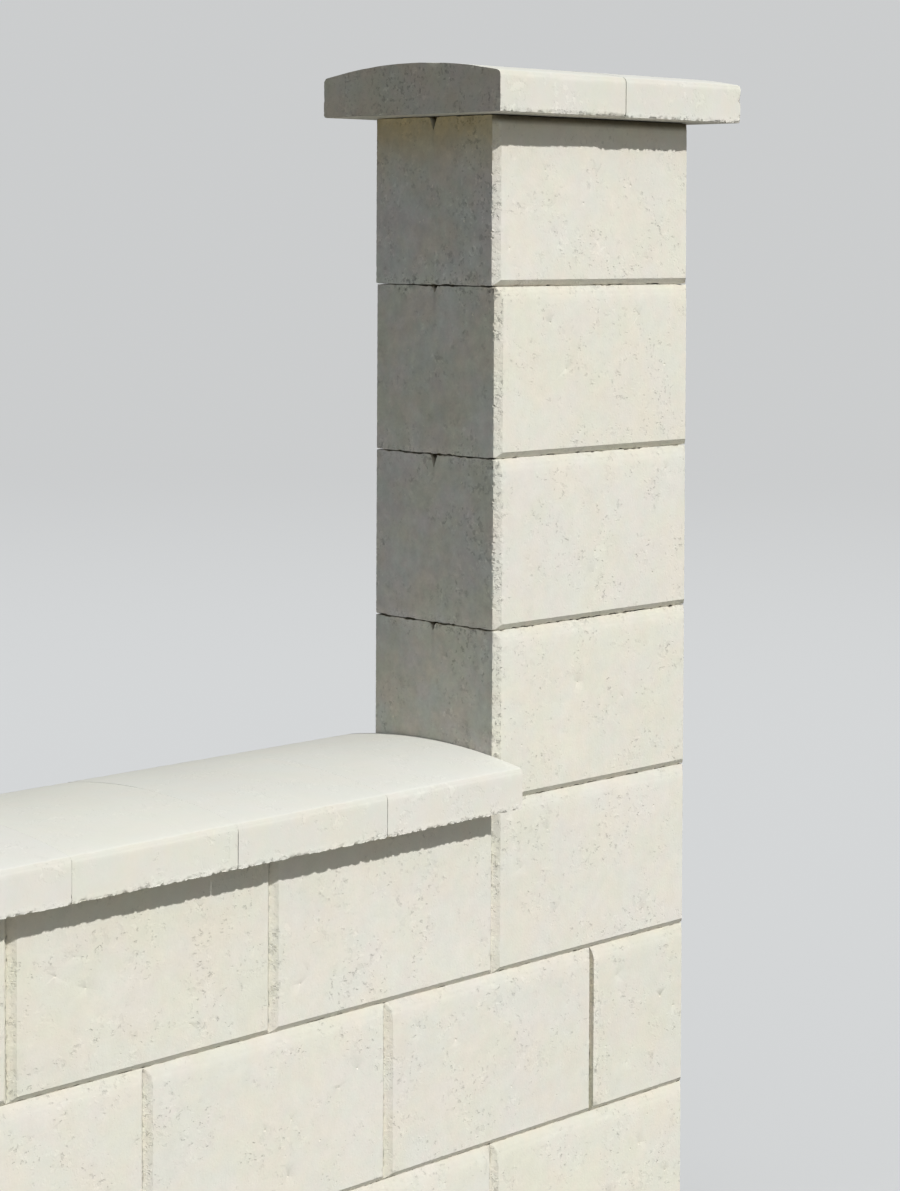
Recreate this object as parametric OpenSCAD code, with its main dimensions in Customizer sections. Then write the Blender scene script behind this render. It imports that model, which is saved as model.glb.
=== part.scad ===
// Garden wall of large chamfered concrete blocks, laid dry in running bond.
// A low wall runs between two taller end piers. The low wall has a coping of
// crowned slabs, and each pier has a cap made of the same slabs.
// The wall runs along X, its front face looks toward -Y, and Z is up.
// The origin is at the middle of the foot.

/* [Blocks] */
// Length of a full block along the wall
block_len = 400; // [300:10:600]
// Thickness of the wall, from front face to back face
block_depth = 250; // [180:10:400]
// Height of one course
course_h = 235; // [150:5:300]
// Width of the chamfer around a block's front and back face
chamfer = 9; // [4:1:20]
// Radius that softens the arris between the upper chamfer and the face
soft_r = 15; // [4:1:30]
// Gap between neighbouring blocks of a course
joint_gap = 1; // [0.5:0.5:4]

/* [Wall] */
// Whole block lengths in the low wall between the piers
bay_blocks = 5; // [2:1:5]
// Courses in the low wall, below its coping
low_courses = 3; // [1:1:3]
// Courses in each pier above the top of the low wall
pier_courses = 4; // [1:1:5]

/* [End notch] */
// Width of the notch in the top edge of a block's end face
notch_w = 16; // [8:1:30]
// Depth of the notch, down from the top of the block
notch_h = 16; // [6:1:25]
// How far the notch runs in from the end face
notch_in = 12; // [4:1:40]

/* [Slabs] */
// Slabs in the coping of the low wall
coping_slabs = 8; // [6:1:10]
// Slabs in the cap of one pier
cap_slabs = 2; // [1:1:3]
// How far the slabs stand out past the face of the blocks below
overhang = 50; // [15:5:90]
// Height of a slab at its front and back edge
slab_edge_h = 55; // [30:1:90]
// Rise of the crowned top above that edge, in the middle of the slab
crown_rise = 16; // [6:1:30]
// Radius that rounds the top arris of a slab
arris_r = 8; // [2:0.5:10]
// Gap between neighbouring slabs
slab_gap = 1.5; // [0.5:0.5:5]

/* [Laying] */
// Turn of the right pier's top block out of line, in degrees
top_block_turn = 0.6; // [0:0.1:1.5]
// Step forward from the first to the last cap slab of the right pier
cap_step = 1; // [0:0.5:8]

/* [Hidden] */
// How far a cutting shape runs past the face that it cuts
cut_over = 1;
// Segments in the crown's large circle and in the small arris circles
crown_fn = 720;
arris_fn = 48;
block_colour = [0.87, 0.86, 0.81];
slab_colour = [0.85, 0.85, 0.82];

// Plan along the wall
block_pitch = block_len + joint_gap;
half_len = (block_len - joint_gap) / 2;
wall_len = block_len + (bay_blocks + 1) * block_pitch;
wall_start = -wall_len / 2;
low_top = low_courses * course_h;
pier_top = low_top + pier_courses * course_h;

// Softened arris: a circle that touches the face and the upper chamfer, within the chamfer's width
soft_fit = min(soft_r, 2 * chamfer);
soft_reach = soft_fit * tan(22.5);
soft_z = course_h - chamfer - soft_reach;

// Slabs: the coping fills the clear span, and a cap covers its pier and overhangs it
clear_span = wall_len - 2 * block_len;
coping_slab_len = (clear_span - slab_gap) / coping_slabs - slab_gap;
cap_len = block_len + 2 * overhang;
cap_slab_len = (cap_len + slab_gap) / cap_slabs - slab_gap;
slab_half = block_depth / 2 + overhang;

// Crown: a circle through both top edges and the middle of the slab
crown_r = (slab_half * slab_half + crown_rise * crown_rise) / (2 * crown_rise);
crown_z = slab_edge_h + crown_rise - crown_r;

// Arris: a small circle that touches the edge face and the crown
arris_y = slab_half - arris_r;
arris_z = crown_z + sqrt(pow(crown_r - arris_r, 2) - pow(arris_y, 2));
arris_out = [arris_y, arris_z - crown_z] / (crown_r - arris_r);

SIDES = ["left", "right"];

function bonded(course) = course % 2 == 0;
function blocks_in(course) = bay_blocks + (bonded(course) ? 3 : 2);
function is_half(course, i) = bonded(course) && (i == 0 || i == blocks_in(course) - 1);
function bonded_x(i) = i == 0 ? 0 : half_len + joint_gap + (i - 1) * block_pitch;
function block_x(course, i) = wall_start + (bonded(course) ? bonded_x(i) : i * block_pitch);
function pier_x(side) = side == "left" ? wall_start : -wall_start - block_len;
function block_turn(side, i) = side == "right" && i == pier_courses - 1 ? top_block_turn : 0;
function cap_shift(side, i) =
    side == "right" && cap_slabs > 1 ? cap_step * (0.5 - i / (cap_slabs - 1)) : 0;

function low_name(course, i) = str("course_", course, "_block_", i + 1);
function pier_name(side, i) = str(side, "_pier_block_", i + 1);
function coping_name(i) = str("coping_slab_", i + 1);
function cap_name(side, i) = str(side, "_cap_slab_", i + 1);

// Rectangle from x = 0, with its four corners cut at 45 degrees
module chamfered_rect(w, h, c) {
    polygon([
        [c, 0], [w - c, 0], [w, c], [w, h - c],
        [w - c, h], [c, h], [0, h - c], [0, c]
    ]);
}

// Everything outside the softened arris, on the +Y side
module soft_waste() {
    difference() {
        translate([block_depth / 2, soft_z])
            polygon([
                [-soft_fit, 0], [cut_over, 0], [cut_over, 2 * soft_fit],
                [soft_fit * (cos(45) - 1) + cut_over, soft_fit * sin(45) + cut_over],
                [soft_fit * (cos(45) - 1), soft_fit * sin(45)]
            ]);
        translate([block_depth / 2 - soft_fit, soft_z]) circle(soft_fit, $fn = arris_fn);
    }
}

// Cross-section of a block: crisp lower chamfers, and upper ones that run softly into the face
module block_section() {
    difference() {
        translate([-block_depth / 2, 0]) chamfered_rect(block_depth, course_h, chamfer);
        soft_waste();
        mirror([1, 0]) soft_waste();
    }
}

// Block outline with the chamfers mitred at the corners of the front and back face
module chamfered_body() {
    intersection() {
        rotate([90, 0, 90])
            linear_extrude(block_len)
                block_section();
        translate([0, -block_depth / 2, 0])
            linear_extrude(course_h)
                chamfered_rect(block_len, block_depth, chamfer);
    }
}

// V-shaped notch, with its top edge along X and its open end at x = 0
module end_notch() {
    spread = notch_w / 2 * (1 + cut_over / notch_h);
    translate([-cut_over, 0, course_h])
        rotate([90, 0, 90])
            linear_extrude(notch_in + cut_over)
                polygon([[-spread, cut_over], [0, -notch_h], [spread, cut_over]]);
}

module full_block() {
    difference() {
        chamfered_body();
        end_notch();
        translate([block_len, 0, 0]) mirror([1, 0, 0]) end_notch();
    }
}

// Full block sawn in two: moulded end at x = 0, square sawn end at half_len
module half_block() {
    difference() {
        full_block();
        translate([half_len, -block_depth, -cut_over])
            cube([block_len, 2 * block_depth, course_h + 2 * cut_over]);
    }
}

// Everything above the crown and outside the rounded arris, on the +Y side
module arris_waste() {
    reach = 3 * arris_r;
    difference() {
        polygon([
            [arris_y, arris_z],
            [arris_y, arris_z] + reach * arris_out,
            [slab_half + cut_over, arris_z + reach],
            [slab_half + cut_over, arris_z]
        ]);
        translate([arris_y, arris_z]) circle(arris_r, $fn = arris_fn);
    }
}

// Cross-section of a slab: upright edges, rounded arrises and a crowned top
module slab_section() {
    difference() {
        intersection() {
            translate([-slab_half, 0]) square([2 * slab_half, slab_edge_h + crown_rise]);
            translate([0, crown_z]) circle(crown_r, $fn = crown_fn);
        }
        arris_waste();
        mirror([1, 0]) arris_waste();
    }
}

module slab(length) {
    rotate([90, 0, 90]) linear_extrude(length) slab_section();
}

module low_block(course, i) {
    last = blocks_in(course) - 1;
    color(block_colour)
        translate([block_x(course, i), 0, (course - 1) * course_h])
            if (!is_half(course, i)) full_block();
            else if (i == last) translate([half_len, 0, 0]) mirror([1, 0, 0]) half_block();
            else half_block();
}

// A pier block, turned about its right end
module pier_block(side, i) {
    color(block_colour)
        translate([pier_x(side) + block_len, 0, low_top + i * course_h])
            rotate([0, 0, -block_turn(side, i)])
                translate([-block_len, 0, 0])
                    full_block();
}

module coping_slab(i) {
    first = wall_start + block_len + slab_gap;
    color(slab_colour)
        translate([first + i * (coping_slab_len + slab_gap), 0, low_top])
            slab(coping_slab_len);
}

module cap_slab(side, i) {
    first = pier_x(side) - overhang;
    color(slab_colour)
        translate([first + i * (cap_slab_len + slab_gap), cap_shift(side, i), pier_top])
            slab(cap_slab_len);
}

for (c = [1 : low_courses])
    for (i = [0 : blocks_in(c) - 1])
        low_block(c, i);
for (side = SIDES)
    for (i = [0 : pier_courses - 1])
        pier_block(side, i);
for (i = [0 : coping_slabs - 1])
    coping_slab(i);
for (side = SIDES)
    for (i = [0 : cap_slabs - 1])
        cap_slab(side, i);
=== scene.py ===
import math
from collections import namedtuple
from types import SimpleNamespace

import bpy
import numpy as np
from mathutils import Matrix, Vector
from mathutils.geometry import delaunay_2d_cdt


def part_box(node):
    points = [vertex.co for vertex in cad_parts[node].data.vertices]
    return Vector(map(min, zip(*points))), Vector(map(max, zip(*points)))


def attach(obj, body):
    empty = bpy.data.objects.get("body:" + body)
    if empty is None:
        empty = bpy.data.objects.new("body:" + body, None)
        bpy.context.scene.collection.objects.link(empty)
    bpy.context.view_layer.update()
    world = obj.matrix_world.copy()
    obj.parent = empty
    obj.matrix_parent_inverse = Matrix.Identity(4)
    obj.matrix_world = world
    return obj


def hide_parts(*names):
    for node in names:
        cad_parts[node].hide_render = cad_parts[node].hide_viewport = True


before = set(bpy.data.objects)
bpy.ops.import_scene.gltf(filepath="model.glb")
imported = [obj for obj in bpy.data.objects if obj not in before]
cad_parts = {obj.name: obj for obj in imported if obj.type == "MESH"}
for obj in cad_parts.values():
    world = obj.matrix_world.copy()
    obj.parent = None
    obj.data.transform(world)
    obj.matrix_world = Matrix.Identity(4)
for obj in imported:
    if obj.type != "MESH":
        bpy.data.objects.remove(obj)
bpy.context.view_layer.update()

# Photograph, in its pixels, and camera
PHOTO_W = 900
PHOTO_H = 1191
FOCAL_PX = 2694.6
PRINCIPAL_X = 450
PRINCIPAL_Y = 300
CAMERA_AT = (-1.6164, -2.6773, 1.4820)
CAMERA_YAW = 44.698
CAMERA_PITCH = 1.414
CAMERA_ROLL = -0.291
SENSOR_MM = 36
CLIP_START = 0.05
CLIP_END = 200

# Sun, almost square to the wall's front, and sky
SUN_AZIMUTH = 1.6
SUN_ELEVATION = 40.0
SUN_ANGLE = 1.4
SUN_STRENGTH = 2.73
SUN_DISTANCE = 5
SKY_HORIZON = 0.16
SKY_ZENITH = 0.52
SKY_FRONT = 0.30
SKY_COLOUR = (0.965, 1.0, 1.045)
BACKDROP = (0.60, 0.61, 0.615)

# Stage
FLOOR_RADIUS = 40.0
FLOOR_SIDES = 96
FLOOR_SEEN = (0.70, 0.705, 0.70)
FLOOR_BOUNCE = (0.24, 0.24, 0.23)
FLOOR_FADE = (5.0, 14.0)

# Blocks, in metres. The ROUND values soften the arrises where a chamfer meets the face.
BLOCK_LENGTH = 0.400
HALF_LENGTH = 0.1995
BLOCK_DEPTH = 0.250
COURSE_H = 0.235
CHAMFER = 0.009
ROUND_LOW = 0.0001
ROUND_HIGH = 0.0045
ROUND_SIDE = 0.0002
END_CLOSE = (0.00030, 0.00047)
TOP_BLOCK = "right_pier_block_4"
BELOW_TOP_BLOCK = "right_pier_block_3"
TOP_BLOCK_TURN = 0.6

# End notches: how far in they run, and their width and height
NOTCH_IN = 0.012
NOTCHES = {
    "right_pier_block_1": (0.0130, 0.0115),
    "right_pier_block_2": (0.0150, 0.0195),
    "right_pier_block_3": (0.0125, 0.0110),
    "right_pier_block_4": (0.0165, 0.0200),
}
NOTCH_SIZES = ((0.0130, 0.0110), (0.0170, 0.0200))

# Mesh points of a block. Each ring of them has an inset and a spacing.
EDGE_STEP = 0.0020
DEPTH_STEP = 0.004
FACE_STEP = 0.022
BED_STEP = 0.03
FIELD_MARGIN = 0.7
FIELD_JITTER = 0.2
FACE_INSETS = (0.0018, 0.0036, 0.0054, 0.0072, 0.0090, 0.0108, 0.0135, 0.0180, 0.0270)
FRONT_STEPS = (0.0020, 0.0022, 0.0022, 0.0020, 0.0020, 0.0022, 0.0036, 0.0075, 0.0150)
BACK_STEPS = (0.0032, 0.0034, 0.0034, 0.0032, 0.0032, 0.0034, 0.0050, 0.0090, 0.0150)
END_RINGS = ((0.0020, 0.0030), (0.0045, 0.0040), (0.0080, 0.0070), (0.0160, 0.0140))
BED_RINGS = ((0.0030, 0.0040), (0.0080, 0.0080), (0.0160, 0.0160))
NOTCH_RIMS = (0.002, 0.005)
NOTCH_RIM_DROP = 1.4
NOTCH_CLEAR = 0.001
RIM_CLEAR = 0.002
CORNER_CLEAR = 0.0012

# Pits in the faces. Each ring of a pit's points has a reach, a share of the depth and a number.
FACE_PITS = 6
END_PITS = 8
PIT_MARGIN = 0.024
PIT_RADIUS = (0.0008, 0.0021)
PIT_DEPTH = (0.5, 0.8)
PIT_UNEVEN = (0.8, 1.2)
PIT_CLEAR = 1.6
PIT_APART = 2.4
PIT_RINGS = ((0.45, 0.85, 5), (0.85, 0.35, 7), (1.15, 0.0, 8))

# Damage along a block's arrises, and the share of it that the level ones have.
# Hollows: size, noise level to start from, depth. Chips: number, radii, depths as shares of them.
WORN_FADE = 0.002
UPRIGHT_FADE = (CHAMFER - 0.001, CHAMFER + 0.0005)
LEVEL_ROUGH = 0.15
LEVEL_CHIPPED = 0.4
LEVEL_WORN = 0.25
GRAIN = (0.0050, 0.35, 0.0005)
CRUMBLE = (0.008, 0.60, 0.002)
EDGE_CHIPS = (30, (0.0010, 0.0030), (0.2, 0.4))
NOTCH_CHIP_RADIUS = (0.002, 0.007)
NOTCH_CHIP_DEPTH = 0.5
SHELTERED_WEAR = 0.55

# Small bites out of the arrises. Clusters: size, and the noise levels where they start and are full.
NIBBLE_SHARE = 0.32
NIBBLE_LONE = 0.25
NIBBLE_DEPTH = 0.0014
NIBBLE_CELL = 0.0004
NIBBLE_CLUSTERS = (0.030, 0.42, 0.62)
INNER_BITES = 0.4
WORN_BITES = 0.15

# Open bed joints: everywhere, at a block's ends, under the cap, and in scattered specks
BED_GAP = 0.00020
BED_GAP_END = 0.00045
BED_GAP_CAP = 0.00040
BED_GAP_SPECK = 0.0016
BED_GAP_REACH = 0.014
BED_END_REACH = 0.010
BED_SPECKS = (0.010, 0.56, 0.72)
BED_UNEVEN = 0.020

# Dirt and painted shade on the blocks, as shares of its full colour: painted shade on the upper chamfers
# and in the bed joints, dirt with painted shade under the caps and in the notches; and the warm brown
# tint below the caps
DIRT_AND_SHADE_COLOUR = (0.125, 0.099, 0.054, 1)
# Painted shade: each block's sunlit upper chamfer is darkened a little, to tone down its brightness
CHAMFER_PAINTED_SHADE = 0.085
CHAMFER_SHADE_FADE = 0.006
CHAMFER_SHADE_REACH = 0.020
# Under a cap the upper chamfer turns dark brown: partly dirt, partly painted shade under the overhang
CAP_DIRT_AND_SHADE = 0.88
CAP_DIRT_AND_SHADE_FADE = (0.0040, 0.0155)
CAP_DIRT_AND_SHADE_REACH = CHAMFER + 0.001
# Inside the end notches: painted shade in the recess, with some dirt
NOTCH_SHADE_AND_DIRT = 0.95
# The bed faces inside the joints: painted shade between the courses
BED_JOINT_SHADE = 0.70
BED_JOINT_SHADE_FROM = 0.002
RUN_LENGTH = 0.060
CAPPED_BLOCKS = ("left_pier_block_4", "right_pier_block_4")
# A warm brown tint near the tops of the blocks under a cap: its height, its tint and its share on the
# front
BROWN_TINT_HEIGHT = 0.130
BROWN_TINT = (1.10, 0.94, 0.62)
BROWN_TINT_ON_FRONT = 0.13

# Slabs, in metres, and the spacing of their mesh points
SLAB_DEPTH = 0.350
CROWN_RISE = 0.016
ARRIS_R = 0.008
ARRIS_STEPS = 6
SLAB_ALONG = 0.002
SLAB_STEP = 0.004
LOW_STEP = 0.0015
LOW_REACH = 0.009
CROWN_STEP = 0.015
UNDER_EDGE = 0.017
UNDER_STEP = 0.045
SLAB_END_RINGS = ((0.003, 0.004), (0.009, 0.010), (0.020, 0.020))

# Damage along a slab's lower arris, its upper arris and the ends that show
LOW_BAND = 0.0055
UPPER_BAND = (0.010, 0.004)
UPPER_REACH = (0.006, 0.014)
UPPER_WEAR = 0.35
END_BAND = (0.001, 0.004)
END_WEAR = 0.8
SLAB_GRAIN = (0.0070, 0.35)
SLAB_GRAIN_DEPTH = 0.0006
SLAB_GRAIN_LOW = 0.0010
SLAB_CRUMBLE = (0.012, 0.56, 0.006)
SLAB_CHIPS = (60, (0.0014, 0.0034), (0.3, 0.6))
JOINT_CHIPS = (2, *SLAB_CHIPS[1:])
LOW_BITES = 0.5
END_BITES = 0.4
FLAT_UNDER = 0.012
CRUMBLY_BAND = (0.003, 0.011)
CRUMBLY_MARK = 0.7

# Small bevel broken off the lower arris
LOW_TEETH = (0.0065, 0.60, 0.045)
LOW_TEETH_MAX = 0.0028

# How far a slab's lower arris is worn back. The wear grows toward the right end.
LOW_WEAR = {"right_cap_slab_1": 0.0017}
LOW_WEAR_LEFT = 0.10
LOW_WEAR_SIZE = 0.016

# Joints between slabs: how far each mesh reaches in, and how far its arrises are drawn back
JOINT_CLOSE = 0.00072
JOINT_ARRIS = 0.00014
JOINT_ARRIS_REACH = (0.001, 0.004)
JOINT_ARRIS_TOP = 0.008
JOINT_ARRIS_LESS = 0.7
JOINT_UNEVEN = 0.012
WORN_ARRIS = 3.2
WORN_ENDS = {"coping_slab_7": "right", "coping_slab_8": "left"}

# Joints that gape a little: low at the front, and again over the back half
GAPE_FRONT = 0.00032
GAPE_FRONT_REACH = (0.055, 0.075)
GAPE_FRONT_TOP = (0.014, 0.004)
GAPE_BACK = 0.00045
GAPE_BACK_FROM = (-0.01, 0.06)
GAPING_ENDS = {
    "coping_slab_2": "right", "coping_slab_3": "left",
    "coping_slab_4": "right", "coping_slab_5": "left",
    "coping_slab_6": "right", "coping_slab_7": "left",
}

# Tone of a piece: chosen for one block, and otherwise drawn
TONES = {"right_pier_block_4": 1.03}
TONE_RANGE = (0.988, 1.010)
BLUE_RANGE = (0.985, 1.012)

SHARP_ANGLE = 35
TINY = 1e-6
FIRST_SEED = 101
SEED_SHIFT = 3.7
BATCH_REACH = 50

# A face seen from outside: the axes that point to its right and up
X, Y, Z = np.eye(3)
FRONT = (X, Z)
BACK = (-X, Z)
LEFT = (-Y, Z)
RIGHT = (Y, Z)
TOP = (X, Y)
UNDER = (-X, Y)


# Repeatable noise

def hashed(cell, seed):
    """A repeatable number from 0 to 1 for each row of whole numbers."""
    c = cell.astype(np.int64)
    n = (c[..., 0] * 73856093) ^ (c[..., 1] * 19349663) ^ (c[..., 2] * 83492791) ^ (seed * 2654435761)
    n &= 0xFFFFFFFF
    n = ((n ^ (n >> 15)) * 2246822519) & 0xFFFFFFFF
    n = ((n ^ (n >> 13)) * 3266489917) & 0xFFFFFFFF
    return ((n ^ (n >> 16)) & 0xFFFFFF) / 0xFFFFFF


def value_noise(points, size, seed):
    """Smooth noise from 0 to 1 at points, with bumps about size across."""
    q = points / size
    base = np.floor(q)
    t = q - base
    t = t * t * (3 - 2 * t)
    total = np.zeros(len(points))
    for corner in np.ndindex(2, 2, 2):
        weight = np.prod(np.where(corner, t, 1 - t), axis=1)
        total += weight * hashed(base + corner, seed)
    return total


def fractal(points, size, seed, octaves=3):
    """Several sizes of noise on top of each other, from 0 to 1."""
    total = np.zeros(len(points))
    share = 0.0
    for k in range(octaves):
        total += value_noise(points, size / 2 ** k, seed + 17 * k) / 2 ** k
        share += 1 / 2 ** k
    return total / share


def hollows(points, size, level, depth, seed, octaves=3):
    """How deep each point lies in hollows where the noise rises over a level."""
    return np.maximum(fractal(points, size, seed, octaves) - level, 0) * depth


def ramp(low, high, value):
    """A smooth rise from 0 at low to 1 at high."""
    t = np.clip((value - low) / (high - low), 0, 1)
    return t * t * (3 - 2 * t)


def clusters(points, size, low, high, seed):
    """Shares from 0 to 1 of loose clusters about size across."""
    return ramp(low, high, fractal(points, size, seed, 2))


def at_least(low, share):
    """From low, where share is 0, to 1, where it is 1."""
    return low + (1 - low) * share


# Meshes

def spaced(start, end, step):
    """Numbers from start to end, both included, about step apart."""
    count = max(1, int(round(abs(end - start) / step)))
    return np.linspace(start, end, count + 1)


class Skin:
    """The closed surface of one piece, gathered patch by patch and joined where points meet."""

    def __init__(self):
        self.points = []
        self.faces = []
        self.count = 0

    def patch(self, loop, inner, facing):
        """Fills a closed loop of points, seen from outside with facing's axes to the right and up."""
        across, up = facing
        points = np.array(list(loop) + list(inner), float)
        flat = np.stack([points @ across, points @ up], axis=1)
        n = len(loop)
        turn = np.roll(flat[:n], -1, axis=0)
        area = np.sum(flat[:n, 0] * turn[:, 1] - flat[:n, 1] * turn[:, 0])
        order = list(range(n)) if area > 0 else list(range(n))[::-1]
        made = delaunay_2d_cdt([Vector(p) for p in flat], [], [order], 1, 1e-7)
        ids = [origin[0] for origin in made[3]]
        self.faces += [[self.count + ids[i] for i in face] for face in made[2]]
        self.points.append(points)
        self.count += len(points)

    def joined(self):
        """Points and faces, with the points that patches share made one."""
        points = np.concatenate(self.points)
        keys = np.round(points * 1e6).astype(np.int64)
        first, back = np.unique(keys, axis=0, return_index=True, return_inverse=True)[1:]
        return points[first], back.reshape(-1)[np.array(self.faces)]


def point_normals(points, faces):
    """Unit normals at the points, from the faces round them."""
    a, b, c = (points[faces[:, k]] for k in range(3))
    face = np.cross(b - a, c - a)
    normals = np.zeros_like(points)
    for k in range(3):
        np.add.at(normals, faces[:, k], face)
    return normals / np.maximum(np.linalg.norm(normals, axis=1, keepdims=True), 1e-12)


def rectangle(width, height, inset, step):
    """Points round a rectangle from (0, 0) to (width, height), drawn in by inset."""
    xs = spaced(inset, width - inset, step)[:-1]
    ys = spaced(inset, height - inset, step)[:-1]
    low = [(x, inset) for x in xs]
    right = [(width - inset, y) for y in ys]
    high = [(width - x, height - inset) for x in xs]
    left = [(inset, height - y) for y in ys]
    return low + right + high + left


def rings_and_field(width, height, rings, field_step, rng):
    """Points that fill a rectangle: dense rings near its rim, and a loose field inside."""
    points = []
    for inset, step in rings:
        if 2 * inset < min(width, height) - step:
            points += rectangle(width, height, inset, step)
    margin = rings[-1][0] + field_step * FIELD_MARGIN
    if 2 * margin < min(width, height):
        for x in spaced(margin, width - margin, field_step):
            for y in spaced(margin, height - margin, field_step):
                points.append((x, y) + rng.uniform(-FIELD_JITTER, FIELD_JITTER, 2) * field_step)
    return np.array(points)


def line(start, end, step):
    """Points on the straight line from start to end, both included."""
    start = np.array(start, float)
    end = np.array(end, float)
    share = spaced(0, np.linalg.norm(end - start), step) / np.linalg.norm(end - start)
    return start + share[:, None] * (end - start)


def unit(vector):
    return vector / np.linalg.norm(vector)


def loop_of(*parts):
    """One closed loop from lines that meet end to end, with each shared point once."""
    return np.concatenate([part[:-1] for part in parts])


def pit_points(centre, radius, depth, rng):
    """Points of one round pit on a flat face, and how deep each one lies."""
    points = [centre[None, :]]
    deep = [np.array([depth])]
    for share, fall, sides in PIT_RINGS:
        turn = rng.uniform(0, math.tau) + np.arange(sides) * math.tau / sides
        out = radius * share * rng.uniform(*PIT_UNEVEN, sides)
        points.append(centre + np.stack([out * np.cos(turn), out * np.sin(turn)], axis=1))
        deep.append(np.full(sides, depth * fall))
    return np.concatenate(points), np.concatenate(deep)


def pitted(flat, width, height, count, rng):
    """Adds round pits to the points of a flat face. Returns the points and how deep each one lies."""
    far_corner = (width - PIT_MARGIN, height - PIT_MARGIN)
    points = [flat]
    deep = [np.zeros(len(flat))]
    for _ in range(count):
        centre = rng.uniform(PIT_MARGIN, far_corner)
        radius = rng.uniform(*PIT_RADIUS)
        depth = radius * rng.uniform(*PIT_DEPTH)
        gaps = [np.linalg.norm(pit - centre, axis=1).min() for pit in points[1:]]
        if min(gaps, default=1.0) < PIT_APART * radius:
            continue
        clear = np.linalg.norm(points[0] - centre, axis=1) > PIT_CLEAR * radius
        points[0] = points[0][clear]
        deep[0] = deep[0][clear]
        ring, ring_deep = pit_points(centre, radius, depth, rng)
        points.append(ring)
        deep.append(ring_deep)
    return np.concatenate(points), np.concatenate(deep)


def chips(points, centres, radii, depths):
    """How deep small broken spots have eaten into the surface at each point."""
    deep = np.zeros(len(points))
    for centre, radius, depth in zip(centres, radii, depths):
        far = np.linalg.norm((points - centre), axis=1) / radius
        deep = np.maximum(deep, depth * np.clip(1 - far ** 2, 0, 1))
    return deep


def edge_chips(points, edge, count, radius, depth, rng):
    """How deep chips scattered along an edge have eaten in. Their depth is a share of the radius."""
    spots = rng.choice(np.where(edge)[0], count, replace=False)
    radii = rng.uniform(*radius, count)
    return chips(points, points[spots], radii, radii * rng.uniform(*depth, count))


def nibbles(points, where, seed):
    """Small bites out of an arris, in loose clusters: how deep each point lies."""
    share = NIBBLE_SHARE * at_least(NIBBLE_LONE, clusters(points, *NIBBLE_CLUSTERS, seed + 21))
    cells = np.floor(points / NIBBLE_CELL)
    return where * (hashed(cells, seed) < share) * hashed(cells, seed + 1) * NIBBLE_DEPTH


# Blocks

def rounded_cut(distance, radius):
    """Depth of a chamfer at a distance from its outer edge, with a soft arris at the face."""
    reach = CHAMFER - distance
    full = CHAMFER + math.sqrt(CHAMFER ** 2 + radius ** 2)
    return CHAMFER * (reach + np.sqrt(reach ** 2 + radius ** 2)) / full


def setback(x, z, length, sawn):
    """How far the chamfers have cut back the front face at a point of it."""
    cuts = [rounded_cut(z, ROUND_LOW), rounded_cut(COURSE_H - z, ROUND_HIGH)]
    if sawn != "left":
        cuts.append(rounded_cut(x, ROUND_SIDE))
    if sawn != "right":
        cuts.append(rounded_cut(length - x, ROUND_SIDE))
    return np.maximum.reduce(cuts)


def face_points(flat, side, length, sawn):
    """Points of the front or back face, side -1 or 1, from their place along and up the block."""
    x, z = np.array(flat, float).T
    y = side * (BLOCK_DEPTH / 2 - setback(x, z, length, sawn))
    return np.stack([x, y, z], axis=1)


def face_edges(side, length, sawn):
    """The four edges of the front or back face, each from low x or low z to high."""
    xs = spaced(0, length, EDGE_STEP)
    zs = spaced(0, COURSE_H, EDGE_STEP)
    edges = {
        "low": [(x, 0) for x in xs],
        "high": [(x, COURSE_H) for x in xs],
        "left": [(0, z) for z in zs],
        "right": [(length, z) for z in zs],
    }
    return {name: face_points(flat, side, length, sawn) for name, flat in edges.items()}


def notch_lines(x_end, inward, size):
    """The edges of the V notch in the top of an end face, from the front to the back."""
    half = size[0] / 2
    rim = ((-half, COURSE_H), (0, COURSE_H - size[1]), (half, COURSE_H))
    outer = [(x_end, y, z) for y, z in rim]
    inner = [(x_end + inward * NOTCH_IN, y, z) for y, z in rim]
    edges = {
        "outer_front": (outer[0], outer[1]),
        "outer_back": (outer[1], outer[2]),
        "inner_front": (inner[0], inner[1]),
        "inner_back": (inner[1], inner[2]),
        "inner_top": (inner[0], inner[2]),
        "run_front": (outer[0], inner[0]),
        "run_low": (outer[1], inner[1]),
        "run_back": (outer[2], inner[2]),
    }
    return {"half": half} | {name: line(*ends, EDGE_STEP) for name, ends in edges.items()}


def round_notch(edge, notch, *parts):
    """An edge of a block's top, led round the notch by the parts between."""
    half = notch["half"]
    first = edge[edge[:, 1] < -half - TINY]
    last = edge[edge[:, 1] > half + TINY]
    return np.concatenate([first, *parts, last])


def notch_rims(inner, x_end, notch):
    """An end face's inner points, with lines along the notch in place of those near it."""
    half = notch["half"]
    low = notch["outer_back"][0][2]
    near = (np.abs(inner[:, 1]) < half + NOTCH_CLEAR) & (inner[:, 2] > low - NOTCH_CLEAR)
    rims = [inner[~near]]
    high = COURSE_H - RIM_CLEAR
    for grow in NOTCH_RIMS:
        foot = (x_end, 0, low - NOTCH_RIM_DROP * grow)
        rims.append(line((x_end, -half - grow, high), foot, EDGE_STEP))
        rims.append(line(foot, (x_end, half + grow, high), EDGE_STEP)[1:])
    return np.concatenate(rims)


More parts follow.
